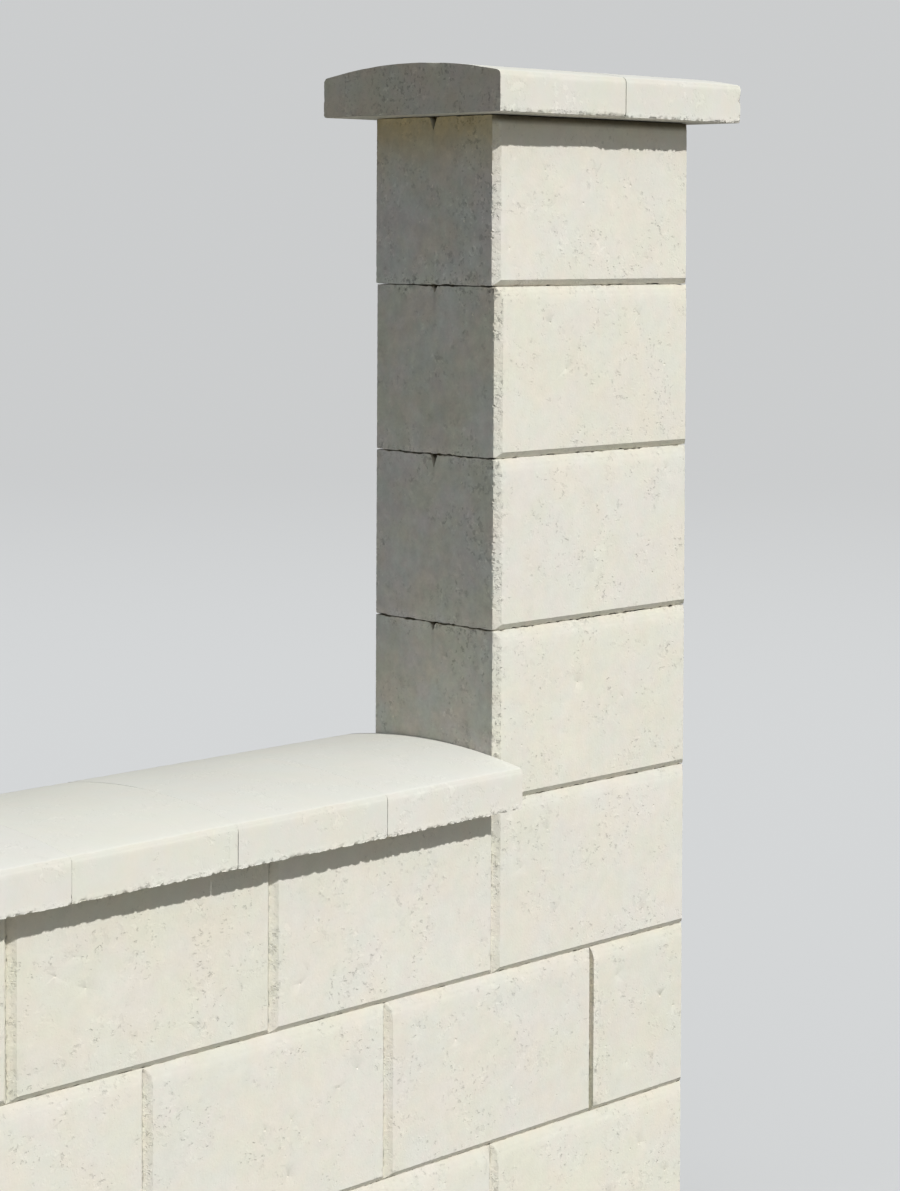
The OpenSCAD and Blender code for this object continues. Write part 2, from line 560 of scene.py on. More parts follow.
def end_face(skin, x_end, facing, front, back, depth_low, depth_high, notch, rng):
    """One end of a block: its outline from the face edges, with the notch cut in its top."""
    ridge = depth_high
    if notch:
        ridge = round_notch(ridge, notch, notch["outer_front"][:-1], notch["outer_back"])
    outline = loop_of(front, ridge, back[::-1], depth_low[::-1])
    lo = outline[:, 1].min()
    depth = outline[:, 1].max() - lo
    height = outline[:, 2].max()
    flat = rings_and_field(depth, height, END_RINGS, FACE_STEP, rng)
    inner, deep = pitted(flat, depth, height, END_PITS, rng)
    inward = 1 if facing is LEFT else -1
    inner = np.stack([x_end + inward * deep, inner[:, 0] + lo, inner[:, 1]], axis=1)
    if notch:
        inner = notch_rims(inner, x_end, notch)
    keep = inside_chamfers(inner, outline)
    skin.patch(outline, inner[keep], facing)


def inside_chamfers(points, outline):
    """Which points of an end face lie inside its outline, where that has cut corners."""
    half = outline[:, 1].max()
    height = outline[:, 2].max()
    corner = half - np.abs(points[:, 1]) + np.minimum(points[:, 2], height - points[:, 2])
    squared = np.isclose(outline[0, 1], -half, atol=1e-4)
    return np.ones(len(points), bool) if squared else corner > CHAMFER + CORNER_CLEAR


def around_notch(edge, notch):
    """An end edge of a bed, led round the notch if it has one."""
    if not notch:
        return edge
    run_out = notch["run_back"][::-1][1:]
    return round_notch(edge, notch, notch["run_front"][:-1], notch["inner_top"], run_out)


def bed_face(skin, z, facing, front, back, left, right, notches, rng):
    """The top or the under face of a block, with the notches at its ends."""
    left = around_notch(left, notches.get("left"))
    right = around_notch(right, notches.get("right"))
    outline = loop_of(front, right, back[::-1], left[::-1])
    x_lo, y_lo = outline[:, :2].min(axis=0)
    width, depth = outline[:, :2].max(axis=0) - (x_lo, y_lo)
    inner = rings_and_field(width, depth, BED_RINGS, BED_STEP, rng) + (x_lo, y_lo)
    inner = np.stack([inner[:, 0], inner[:, 1], np.full(len(inner), z)], axis=1)
    from_end = np.minimum(inner[:, 0] - x_lo, x_lo + width - inner[:, 0])
    half = max([notch["half"] for notch in notches.values()], default=0.0)
    keep = (from_end > NOTCH_IN + RIM_CLEAR) | (np.abs(inner[:, 1]) > half + RIM_CLEAR)
    skin.patch(outline, inner[keep], facing)


def notch_walls(skin, notch, facing):
    """The two slopes and the end wall of a notch."""
    down_back = unit(notch["outer_front"][-1] - notch["outer_front"][0])
    up_back = unit(notch["outer_back"][-1] - notch["outer_back"][0])
    front_loop = loop_of(notch["outer_front"], notch["run_low"],
                         notch["inner_front"][::-1], notch["run_front"][::-1])
    back_loop = loop_of(notch["outer_back"], notch["run_back"],
                        notch["inner_back"][::-1], notch["run_low"][::-1])
    wall_loop = loop_of(notch["inner_front"], notch["inner_back"], notch["inner_top"][::-1])
    skin.patch(front_loop, [], (X, -down_back))
    skin.patch(back_loop, [], (X, up_back))
    skin.patch(wall_loop, [], facing)


def block_skin(length, sawn, notch_size, rng):
    """The plain closed surface of a block, dense near its arrises."""
    skin = Skin()
    front = face_edges(-1, length, sawn)
    back = face_edges(1, length, sawn)
    for side, edges, facing, steps in ((-1, front, FRONT, FRONT_STEPS), (1, back, BACK, BACK_STEPS)):
        flat = rings_and_field(length, COURSE_H, list(zip(FACE_INSETS, steps)), FACE_STEP, rng)
        flat, deep = pitted(flat, length, COURSE_H, FACE_PITS, rng)
        inner = face_points(flat, side, length, sawn)
        inner[:, 1] -= side * deep
        loop = loop_of(edges["low"], edges["right"], edges["high"][::-1], edges["left"][::-1])
        skin.patch(loop, inner, facing)
    corner = {}
    for end, x in (("left", 0), ("right", -1)):
        corner[end, "low"] = line(front["low"][x], back["low"][x], DEPTH_STEP)
        corner[end, "high"] = line(front["high"][x], back["high"][x], DEPTH_STEP)
    notches = {}
    if sawn != "left":
        notches["left"] = notch_lines(0.0, 1, notch_size)
    if sawn != "right":
        notches["right"] = notch_lines(length, -1, notch_size)
    for end, x, facing in (("left", 0.0, LEFT), ("right", length, RIGHT)):
        end_face(skin, x, facing, front[end], back[end], corner[end, "low"], corner[end, "high"],
                 notches.get(end), rng)
    for end, notch in notches.items():
        notch_walls(skin, notch, LEFT if end == "left" else RIGHT)
    bed_face(skin, COURSE_H, TOP, front["high"], back["high"],
             corner["left", "high"], corner["right", "high"], notches, rng)
    bed_face(skin, 0.0, UNDER, front["low"], back["low"],
             corner["left", "low"], corner["right", "low"], {}, rng)
    return skin.joined()


# How far each point of a block lies from the nearest end, face and bed and inside the contact
# area, and shares from 0 to 1: how near it is to any arris, and to an upright one
BlockZones = namedtuple("BlockZones", "end face bed inside worn upright")


def block_zones(points, length):
    x, y, z = points.T
    end = np.minimum(x, length - x)
    face = BLOCK_DEPTH / 2 - np.abs(y)
    bed = np.minimum(z, COURSE_H - z)
    inside = np.minimum(end, np.maximum(face - CHAMFER, 0))
    second = np.sort(np.stack([end, face, bed], axis=1), axis=1)[:, 1]
    worn = 1 - ramp(CHAMFER, CHAMFER + WORN_FADE, second)
    return BlockZones(end, face, bed, inside, worn, worn * (1 - ramp(*UPRIGHT_FADE, end)))


def block_damage(points, at, seed, rng):
    """How deep a block's arrises have crumbled at each point."""
    shifted = points + seed * SEED_SHIFT
    grain = hollows(shifted, *GRAIN, seed, 2)
    crumble = hollows(shifted, *CRUMBLE, seed + 5)
    rough = at_least(LEVEL_ROUGH, at.upright) * (grain + crumble)
    broken = edge_chips(points, at.worn > 0.4, *EDGE_CHIPS, rng)
    outer_arris = (at.end < 0.0005) & (at.face < CHAMFER + 0.0015)
    inner_arris = (np.abs(at.end - CHAMFER) < 0.0012) & (at.face < 0.001)
    where = outer_arris + INNER_BITES * inner_arris + WORN_BITES * (at.worn > 0.5)
    chipped = broken * at_least(LEVEL_CHIPPED, at.upright)
    return at.worn * (rough + chipped) + nibbles(shifted, where, seed)


def notch_chips(points, length, half, rng):
    """Chips at the two upper corners of each end notch."""
    corners = []
    for x in (0, length):
        for y in (-half, half):
            corners.append((x, y, COURSE_H))
    radii = rng.uniform(*NOTCH_CHIP_RADIUS, len(corners))
    return chips(points, np.array(corners), radii, radii * NOTCH_CHIP_DEPTH)


def bed_gap(points, at, wear, under_cap, seed):
    """How far the rim of a block's beds is drawn back from the next course."""
    shifted = points + seed * SEED_SHIFT
    open_joint = 1 - ramp(0, BED_GAP_REACH, at.inside)
    near_end = 1 - ramp(0.0, BED_END_REACH, at.end)
    near_cap = under_cap * (points[:, 2] > COURSE_H / 2)
    speck = clusters(shifted, *BED_SPECKS, seed + 9)
    uneven = 0.5 + fractal(shifted, BED_UNEVEN, seed + 10, 2)
    evenly = BED_GAP * wear + BED_GAP_END * near_end + BED_GAP_CAP * near_cap
    return open_joint * (uneven * evenly + BED_GAP_SPECK * wear * speck)


def dirt_and_painted_shade(points, at, notch_size, under_cap):
    """How much dirt and painted shade darken a block at each point, from 0 to 1."""
    from_top = COURSE_H - points[:, 2]
    # painted shade on the upper chamfer near the faces
    chamfered = 1 - ramp(CHAMFER, CHAMFER + CHAMFER_SHADE_FADE, from_top)
    soiled = chamfered * (at.face < CHAMFER_SHADE_REACH) * CHAMFER_PAINTED_SHADE
    # dirt and painted shade on the upper chamfer under a cap
    if under_cap:
        below_cap = 1 - ramp(*CAP_DIRT_AND_SHADE_FADE, from_top)
        soiled = np.maximum(soiled, CAP_DIRT_AND_SHADE * below_cap * (at.face < CAP_DIRT_AND_SHADE_REACH))
    # painted shade on the bed faces inside the joints
    soiled = np.where((at.bed < TINY) & (at.inside > BED_JOINT_SHADE_FROM), BED_JOINT_SHADE, soiled)
    # painted shade and dirt inside the end notches
    near = 10 * TINY
    in_notch = (at.end < NOTCH_IN + near) & (at.end > near)
    in_notch &= np.abs(points[:, 1]) < notch_size[0] / 2 + near
    in_notch &= points[:, 2] > COURSE_H - notch_size[1] - near
    return np.where(in_notch, NOTCH_SHADE_AND_DIRT, soiled)


def block_mesh(length, sawn, notch_size, wear, under_cap, seed):
    """A cast block with crumbled arrises. Returns its points, faces and surface marks.

    wear scales the damage to the arrises, and under_cap says that a cap lies on the block."""
    rng = np.random.default_rng(seed)
    points, faces = block_skin(length, sawn, notch_size, rng)
    at = block_zones(points, length)
    cut = wear * block_damage(points, at, seed, rng)
    cut = np.maximum(cut, notch_chips(points, length, notch_size[0] / 2, rng))
    moved = points - point_normals(points, faces) * cut[:, None]
    inwards = np.where(points[:, 2] < COURSE_H / 2, 1.0, -1.0)
    gap = bed_gap(points, at, wear, under_cap, seed)
    moved[:, 2] += np.where(at.bed < TINY, inwards * gap, 0)
    dirt_and_shade_share = dirt_and_painted_shade(points, at, notch_size, under_cap)
    capped = np.full(len(points), float(under_cap))
    # marks: wear of the arrises, the share of dirt and painted shade, and whether a cap lies on the
    # block
    marks = np.stack([wear * at.worn * at_least(LEVEL_WORN, at.upright), dirt_and_shade_share, capped], axis=1)
    return moved, faces, marks


# Slabs

def slab_profile(height):
    """Cross-section of a slab in y and z, from the front of its underside round to it again."""
    half = SLAB_DEPTH / 2
    crown_r = (half ** 2 + CROWN_RISE ** 2) / (2 * CROWN_RISE)
    crown_z = height - crown_r
    arris_y = half - ARRIS_R
    arris_z = crown_z + math.sqrt((crown_r - ARRIS_R) ** 2 - arris_y ** 2)
    lean = math.atan2(arris_y, arris_z - crown_z)
    rise = np.concatenate([spaced(0, LOW_REACH, LOW_STEP), spaced(LOW_REACH, arris_z, SLAB_STEP)[1:]])
    face = [(-half, z) for z in rise]
    arris = []
    for turn in np.linspace(math.pi / 2, lean, ARRIS_STEPS + 1)[1:]:
        arris.append((-arris_y - ARRIS_R * math.sin(turn), arris_z + ARRIS_R * math.cos(turn)))
    crown = []
    for turn in spaced(-lean, lean, CROWN_STEP / crown_r)[1:-1]:
        crown.append((crown_r * math.sin(turn), crown_z + crown_r * math.cos(turn)))
    mirrored = [(-y, z) for y, z in (face + arris)[::-1]]
    edge = half - UNDER_EDGE
    inward = np.concatenate([spaced(half, half - LOW_REACH, LOW_STEP)[1:],
                             spaced(half - LOW_REACH, edge, SLAB_STEP)[1:]])
    under = np.concatenate([inward, spaced(edge, -edge, UNDER_STEP)[1:], -inward[::-1][1:]])
    return np.array(face + arris + crown + mirrored + [(y, 0) for y in under])


def slab_skin(length, height, rng):
    """The plain closed surface of a slab: its profile drawn along X, with two filled ends."""
    profile = slab_profile(height)
    n = len(profile)
    xs = spaced(0, length, SLAB_ALONG)
    sweep = np.array([(x, y, z) for x in xs for y, z in profile])
    skin = Skin()
    skin.points.append(sweep)
    skin.count = len(sweep)
    for i in range(len(xs) - 1):
        for j in range(n):
            a = i * n + j
            b = i * n + (j + 1) % n
            skin.faces += [[a, b + n, b], [a, a + n, b + n]]
    edge_h = height - CROWN_RISE
    inner = rings_and_field(SLAB_DEPTH, edge_h, SLAB_END_RINGS, FACE_STEP, rng)
    y = inner[:, 0] - SLAB_DEPTH / 2
    lift = 1 + CROWN_RISE * (1 - (2 * y / SLAB_DEPTH) ** 2) / edge_h
    z = inner[:, 1] * np.where(inner[:, 1] > edge_h / 2, lift, 1)
    for x, facing in ((0.0, LEFT), (length, RIGHT)):
        loop = np.stack([np.full(n, x), profile[:, 0], profile[:, 1]], axis=1)
        skin.patch(loop, np.stack([np.full(len(y), x), y, z], axis=1), facing)
    return skin.joined()


def joint_setback(points, length, edge_h, gaping, worn_end, seed):
    """How far points at a slab's ends are drawn in along X, at the arrises and in a gaping joint."""
    x, y, z = points.T
    from_face = SLAB_DEPTH / 2 - np.abs(y)
    uneven = 0.4 + 1.2 * fractal(points + seed, JOINT_UNEVEN, seed + 31, 2)
    arris = JOINT_ARRIS * uneven * (1 - ramp(*JOINT_ARRIS_REACH, from_face))
    arris *= 1 - JOINT_ARRIS_LESS * ramp(edge_h - JOINT_ARRIS_TOP, edge_h, z)
    gape = GAPE_FRONT * (1 - ramp(*GAPE_FRONT_REACH, y + SLAB_DEPTH / 2))
    gape *= 1 - ramp(edge_h - GAPE_FRONT_TOP[0], edge_h - GAPE_FRONT_TOP[1], z)
    gape += GAPE_BACK * ramp(*GAPE_BACK_FROM, y)
    worn = {worn_end: WORN_ARRIS}
    left = (x < TINY) * (arris * worn.get("left", 1) + gape * (gaping == "left"))
    right = (x > length - TINY) * (arris * worn.get("right", 1) + gape * (gaping == "right"))
    return left - right


def broken_arris(points, from_face, seed):
    """How far points move where the lower arris has broken away in a small uneven bevel."""
    side = np.sign(points[:, 1])
    along = np.stack([points[:, 0] + seed * SEED_SHIFT, side, np.zeros(len(points))], axis=1)
    reach = np.minimum(hollows(along, *LOW_TEETH, seed + 11, 2), LOW_TEETH_MAX)
    outer = np.minimum(from_face, points[:, 2]) < TINY
    push = outer * np.maximum(reach - np.maximum(from_face, points[:, 2]), 0) / 2
    return np.stack([np.zeros(len(points)), -side * push, push], axis=1)


# Distances of a slab's points, and how near they are to its arrises and shown ends, from 0 to 1
SlabZones = namedtuple("SlabZones", "from_end from_face from_low low high ends")


def slab_zones(points, length, edge_h, shown):
    x, y, z = points.T
    from_left = np.where(shown[0], x, 1.0)
    from_right = np.where(shown[1], length - x, 1.0)
    from_face = SLAB_DEPTH / 2 - np.abs(y)
    from_low = np.hypot(from_face, z)
    low = np.clip(1 - from_low / LOW_BAND, 0, 1)
    high = ramp(edge_h - UPPER_BAND[0], edge_h - UPPER_BAND[1], z)
    high *= 1 - ramp(*UPPER_REACH, from_face)
    ends = 1 - ramp(*END_BAND, np.minimum(from_left, from_right))
    return SlabZones(np.minimum(x, length - x), from_face, from_low, low, high, ends)


def slab_damage(points, length, at, low_wear, seed, rng):
    """How deep a slab's surface has crumbled at each point."""
    shifted = points + seed * SEED_SHIFT
    grain = hollows(shifted, *SLAB_GRAIN, SLAB_GRAIN_DEPTH + SLAB_GRAIN_LOW * at.low, seed, 2)
    crumble = hollows(shifted, *SLAB_CRUMBLE, seed + 5)
    rim = (at.low > 0.5) | (at.ends > 0.5)
    joint = (at.from_end < TINY) & (at.from_face < TINY)
    broken = edge_chips(points, rim, *SLAB_CHIPS, rng)
    broken = np.maximum(broken, edge_chips(points, joint, *JOINT_CHIPS, rng))
    bites = nibbles(shifted, np.maximum(LOW_BITES * (at.low > 0.6), END_BITES * (at.ends > 0.6)), seed)
    worn = np.maximum(at.low, END_WEAR * at.ends)
    cut = (worn + UPPER_WEAR * at.high) * (grain + crumble) + broken + bites
    along = at_least(LOW_WEAR_LEFT, ramp(0, length, points[:, 0]))
    return cut + at.low * low_wear * along * (0.6 + 0.8 * fractal(shifted, LOW_WEAR_SIZE, seed + 7, 2))


def slab_mesh(length, height, shown, gaping, worn_end, low_wear, seed):
    """A cast slab with a nibbled lower arris. Returns its points, faces and surface marks.

    shown says which ends show. gaping and worn_end each name an end, and low_wear is a depth."""
    rng = np.random.default_rng(seed)
    points, faces = slab_skin(length, height, rng)
    edge_h = height - CROWN_RISE
    at = slab_zones(points, length, edge_h, shown)
    cut = slab_damage(points, length, at, low_wear, seed, rng)
    moved = points - point_normals(points, faces) * cut[:, None]
    moved += broken_arris(points, at.from_face, seed)
    tight = (at.from_end < TINY) & (at.high > 0) & (at.ends < 0.5)
    moved[tight, 0] = points[tight, 0]
    moved[:, 0] += joint_setback(points, length, edge_h, gaping, worn_end, seed)
    under = (points[:, 2] < TINY) & (at.from_face > FLAT_UNDER) & (at.from_end > FLAT_UNDER)
    moved[under, 2] = points[under, 2]

    crumbly = 1 - ramp(*CRUMBLY_BAND, at.from_low)
    marks = np.zeros_like(points)
    marks[:, 0] = np.maximum(CRUMBLY_MARK * crumbly, END_WEAR * at.ends)
    return moved, faces, marks


def make_object(name, points, local, faces, marks, shift, tone):
    """A Blender mesh object that keeps its marks, its own place and its tone as attributes."""
    mesh = bpy.data.meshes.new(name)
    mesh.from_pydata(points.tolist(), [], faces.tolist())
    mesh.shade_smooth()
    mesh.set_sharp_from_angle(angle=math.radians(SHARP_ANGLE))
    for label, rows in (("marks", marks), ("local", local), ("batch", shift), ("tone", tone)):
        rows = np.broadcast_to(np.asarray(rows, np.float32), (len(points), 3))
        layer = mesh.attributes.new(label, "FLOAT_VECTOR", "POINT")
        layer.data.foreach_set("vector", np.ascontiguousarray(rows).ravel())
    mesh.update()
    piece = bpy.data.objects.new(name, mesh)
    bpy.context.scene.collection.objects.link(piece)
    return piece


# Materials

# What sets one cast concrete apart from another. The tints multiply the colour. The end and top tints
# are partly painted shade, and the slope darkening is painted shade.
Look = namedtuple("Look", "colour top_tint end_tint unevenness slope_wear "
                          "pit_share pale_share pale_size notched")
BLOCK_LOOK = Look(
    colour=(0.793, 0.763, 0.665), top_tint=(1.0, 1.0, 1.0), end_tint=(0.705, 0.720, 0.745),
    unevenness=1.0, slope_wear=0.07, pit_share=0.13, pale_share=0.045, pale_size=0.0085, notched=True)
SLAB_LOOK = Look(
    colour=(0.782, 0.759, 0.668), top_tint=(0.975, 0.99, 1.015), end_tint=(0.625, 0.612, 0.600),
    unevenness=0.45, slope_wear=0.14, pit_share=0.05, pale_share=0.060, pale_size=0.0140, notched=False)

# Noises: how far each is moved so that no two line up, its size, detail and roughness
NOISES = {
    "clouds": (0.0, 0.14, 3.0, 0.55),
    "mottle": (0.0, 0.020, 4.0, 0.65),
    "grain": (0.0, 0.0036, 2.0, 0.6),
    "hue": (3.0, 0.075, 3.0, 0.65),
    "blush": (4.0, 0.050, 3.0, 0.65),
    "cluster": (5.0, 0.055, 2.0, 0.5),
}

# Specks: how far each kind is moved, its size, how rare it is and how soft its edge is
SPECKS = {
    "flecks": (0.0, 0.0120, 0.58, 0.06),
    "pits": (7.0, 0.0075, 0.64, 0.04),
    "pale": (9.0, None, 0.58, 0.07),
    "arris_pits": (11.0, 0.0060, 0.58, 0.05),
    "arris_pale": (13.0, 0.0060, 0.58, 0.05),
}
SPECK_NOISE = (2.0, 0.65)

# Colours between which the concrete wavers, and the unchanged colour
HUES = ((0.994, 1.000, 1.024, 1), (1.006, 1.000, 0.976, 1))
BLUSHES = ((0.984, 1.005, 0.998, 1), (1.017, 0.995, 1.000, 1))
PLAIN = (1, 1, 1, 1)

# How much each pattern brightens or darkens the surface, and how that varies
CLOUD_LIGHT = 0.08
CLOUD_LIGHT_END = 0.14
# Worn arrises are paler: partly rubbed concrete, partly painted light lifting the shaded chamfers
WORN_AND_PAINTED_LIGHT = 0.07
MOTTLE_LIGHT = 0.15
GRAIN_LIGHT = 0.05
FLECK_LIGHT = -0.055
# Painted shade in the pits along the arrises
ARRIS_PIT_SHADE = -0.28
ARRIS_PALE_LIGHT = 0.12
RUN_LIGHT = -0.14
END_CONTRAST = 2.5
WORN_CONTRAST = 0.6
TOP_CONTRAST = -0.5
END_PITTING = 0.4
TOP_PITTING = -0.8
TOP_SAME_HUE = 0.6

# How far each pattern raises the surface in the bump, in metres
GRAIN_BUMP = 0.00025
GRAIN_BUMP_PLAIN = 0.8
GRAIN_BUMP_WORN = 1.5
PIT_BUMP = -0.0045
BUMPS = {"flecks": -0.00018, "pale": 0.00015, "arris_pits": -0.0010, "arris_pale": 0.0006}

ROUGHNESS = 0.92
SPECULAR = 0.25


class Graph:
    """A short way to write the nodes of a material or of the world."""

    def __init__(self, owner):
        owner.use_nodes = True
        self.tree = owner.node_tree
        self.tree.nodes.clear()

    def node(self, kind, inputs=None, **settings):
        made = self.tree.nodes.new(kind)
        for key, value in settings.items():
            setattr(made, key, value)
        for key, value in (inputs or {}).items():
            self.put(made.inputs[key], value)
        return made

    def put(self, socket, value):
        """Links an output to a socket, or sets the socket to a plain value."""
        if isinstance(value, bpy.types.NodeSocket):
            self.tree.links.new(value, socket)
        else:
            socket.default_value = value

    def math(self, operation, a, b=0.0, c=0.0):
        return self.node("ShaderNodeMath", {0: a, 1: b, 2: c}, operation=operation).outputs[0]

    def times(self, a, b):
        return self.math("MULTIPLY", a, b)

    def add(self, value, factor, base):
        """A base value plus another value times its factor."""
        return self.math("MULTIPLY_ADD", value, factor, base)

    def vector(self, operation, a, b):
        return self.node("ShaderNodeVectorMath", {0: a, 1: b}, operation=operation).outputs[0]

    def scaled(self, colour, level):
        inputs = {0: colour, "Scale": level}
        return self.node("ShaderNodeVectorMath", inputs, operation="SCALE").outputs[0]

    def attribute(self, name):
        return self.node("ShaderNodeAttribute", attribute_name=name).outputs["Vector"]

    def parts(self, vector):
        return self.node("ShaderNodeSeparateXYZ", {0: vector}).outputs

    def remap(self, value, low, high, to_low=0.0, to_high=1.0):
        inputs = {"Value": value, "From Min": low, "From Max": high, "To Min": to_low, "To Max": to_high}
        return self.node("ShaderNodeMapRange", inputs, interpolation_type="SMOOTHSTEP").outputs["Result"]

    def noise(self, vector, size, detail, roughness, shift=0.0):
        """Noise, moved by shift so that two of them don't line up."""
        if shift:
            vector = self.vector("ADD", vector, (shift, shift * 0.7, shift * 1.3))
        inputs = {"Vector": vector, "Scale": 1 / size, "Detail": detail, "Roughness": roughness}
        return self.node("ShaderNodeTexNoise", inputs).outputs["Fac"]

    def mix(self, share, a, b):
        made = self.node("ShaderNodeMix", data_type="RGBA")
        self.put(made.inputs[0], share)
        self.put(made.inputs[6], a)
        self.put(made.inputs[7], b)
        return made.outputs[2]


def multiplied(colour, tint):
    return (colour[0] * tint[0], colour[1] * tint[1], colour[2] * tint[2], 1)


def surface(g, look):
    """What a material knows at a point of its piece: its coordinates, its marks and how it faces."""
    at = SimpleNamespace(local=g.attribute("local"))
    at.where = g.vector("ADD", at.local, g.attribute("batch"))
    at.worn, at.soiled, at.capped = g.parts(g.attribute("marks"))
    facing = g.parts(g.node("ShaderNodeNewGeometry").outputs["Normal"])
    at.sideways = g.math("ABSOLUTE", facing[0])
    at.up = g.remap(facing[2], 0.80, 0.97)
    at.slope = g.times(g.remap(facing[2], 0.10, 0.55), g.remap(facing[2], 0.97, 0.75))
    at.end = g.remap(at.sideways, 0.80, 0.95)
    if look.notched:
        from_middle = g.math("ABSOLUTE", g.parts(at.local)[1])
        flat_end = BLOCK_DEPTH / 2 - CHAMFER
        at.end = g.times(at.end, g.remap(from_middle, flat_end + 0.001, flat_end, 0.4, 1.0))
    return at


def add_patterns(g, look, at):
    """Adds every noise and kind of speck. Specks gather in loose clusters."""
    for name, (shift, *kind) in NOISES.items():
        setattr(at, name, g.noise(at.where, *kind, shift))
    cluster = g.remap(at.cluster, 0.42, 0.62, 0.10, 1.0)
    at_arris = g.times(g.remap(cluster, 0.2, 0.9, 0.35, 1.0), at.worn)
    for name, (shift, size, rarity, softness) in SPECKS.items():
        noise = g.noise(at.where, size or look.pale_size, *SPECK_NOISE, shift)
        share = at_arris if name.startswith("arris") else cluster
        setattr(at, name, g.times(g.remap(noise, rarity, rarity + softness), share))
    pitting = g.times(g.add(at.end, END_PITTING, 1.0), g.add(at.up, TOP_PITTING, 1.0))
    at.pits = g.times(at.pits, pitting)


def base_colour(g, look, at):
    """The concrete's colour by facing, wavering a little between two hues and two blushes. The facing
    also sets painted shade: darker ends, tinted tops and darkened upward slopes.
    """
    # tops take the top tint: partly a cooler colour of the slab tops, partly painted shade that dims
    # them
    base = g.mix(at.up, (*look.colour, 1), multiplied(look.colour, look.top_tint))
    # ends take the end tint: partly the ends' own rougher concrete, partly painted shade for the shaded
    # sides
    base = g.mix(at.end, base, multiplied(look.colour, look.end_tint))
    tint = g.mix(g.remap(at.hue, 0.32, 0.68), *HUES)
    tint = g.vector("MULTIPLY", tint, g.mix(g.remap(at.blush, 0.34, 0.66), *BLUSHES))
    tint = g.mix(g.times(at.up, TOP_SAME_HUE), tint, PLAIN)
    base = g.vector("MULTIPLY", base, tint)
    base = g.vector("MULTIPLY", base, g.mix(at.end, PLAIN, tint))
    # painted shade: faces that slope up, such as the upper arrises, are darkened
    return g.scaled(base, g.add(at.slope, -look.slope_wear, 1.0))


def brightness(g, look, at):
    """How much brighter or darker than its base colour the concrete is."""
    contrast = g.add(at.end, END_CONTRAST, g.add(at.worn, WORN_CONTRAST, 1.0))
    contrast = g.times(contrast, g.add(at.up, TOP_CONTRAST, 1.0))
    clouded = g.add(at.end, CLOUD_LIGHT_END, CLOUD_LIGHT)
    swell = g.times(g.math("SUBTRACT", at.clouds, 0.5), clouded)
    # paler arrises: wear with painted light
    level = g.math("ADD", swell, g.add(at.worn, WORN_AND_PAINTED_LIGHT, 1.0))
    uneven = g.times(g.math("SUBTRACT", at.mottle, 0.5), MOTTLE_LIGHT * look.unevenness)
    uneven = g.add(g.math("SUBTRACT", at.grain, 0.5), GRAIN_LIGHT * look.unevenness, uneven)
    uneven = g.add(at.flecks, FLECK_LIGHT * look.unevenness, uneven)
    uneven = g.add(at.pale, look.pale_share, uneven)
    level = g.add(uneven, contrast, level)
    # painted shade in the pits, on the faces and on the arrises
    level = g.add(at.pits, -look.pit_share, level)
    level = g.add(at.arris_pits, ARRIS_PIT_SHADE, level)
    return g.add(at.arris_pale, ARRIS_PALE_LIGHT, level)


def run_stain(g, at):
    """A thin grey run down an end face from its notch, wavering a little."""
    parts = g.parts(at.local)
    waver = g.add(g.noise(at.local, 0.020, 2.0, 0.6), 0.010, -0.005)
    narrow = g.remap(g.math("ABSOLUTE", g.math("ADD", parts[1], waver)), 0.0055, 0.0005)
    length = g.remap(parts[2], COURSE_H - RUN_LENGTH, COURSE_H - NOTCH_SIZES[0][1])
    return g.times(g.times(narrow, length), at.end)


def brown_tint_under_cap(g, at):
    """A warm brown tint toward the top of a block under a cap: strongest on the end faces, and less on
    the front.
    """
    share = g.remap(g.parts(at.local)[2], COURSE_H - BROWN_TINT_HEIGHT, COURSE_H)
    share = g.times(g.times(share, share), at.capped)
    share = g.times(share, g.remap(at.sideways, 0.60, 0.95, BROWN_TINT_ON_FRONT, 1.0))
    return g.times(share, g.remap(at.blush, 0.30, 0.70, 0.75, 1.0))


def bump_height(g, look, at):
    grain = g.times(at.grain, GRAIN_BUMP * look.unevenness)
    height = g.times(g.add(at.worn, GRAIN_BUMP_WORN, GRAIN_BUMP_PLAIN), grain)
    height = g.add(at.pits, PIT_BUMP * look.pit_share, height)
    for name, rise in BUMPS.items():
        height = g.add(getattr(at, name), rise, height)
    return height


def concrete(name, look):
    """Pale cast concrete: soft clouds, flecks and pits in loose clusters, rougher arrises and ends."""
    material = bpy.data.materials.new(name)
    g = Graph(material)
    at = surface(g, look)
    add_patterns(g, look, at)
    base = base_colour(g, look, at)
    level = brightness(g, look, at)
    if look.notched:
        level = g.add(run_stain(g, at), RUN_LIGHT, level)
        # warm brown tint near the top of a block under a cap
        brown_colour = multiplied(multiplied(look.colour, look.end_tint), BROWN_TINT)
        base = g.mix(brown_tint_under_cap(g, at), base, brown_colour)
        # darkened toward the dirt colour by dirt and painted shade: under the caps, in the notches, in
        # the bed joints and on the upper chamfers
        base = g.mix(at.soiled, base, DIRT_AND_SHADE_COLOUR)
    toned = g.vector("MULTIPLY", base, g.attribute("tone"))
    height = bump_height(g, look, at)
    bump = g.node("ShaderNodeBump", {"Strength": 1.0, "Distance": 1.0, "Height": height})
    shader = g.node("ShaderNodeBsdfPrincipled", {
        "Base Color": g.scaled(toned, level),
        "Roughness": ROUGHNESS,
        "Specular IOR Level": SPECULAR,
        "Normal": bump.outputs[0],
    })
    g.node("ShaderNodeOutputMaterial", {"Surface": shader.outputs[0]})
    return material


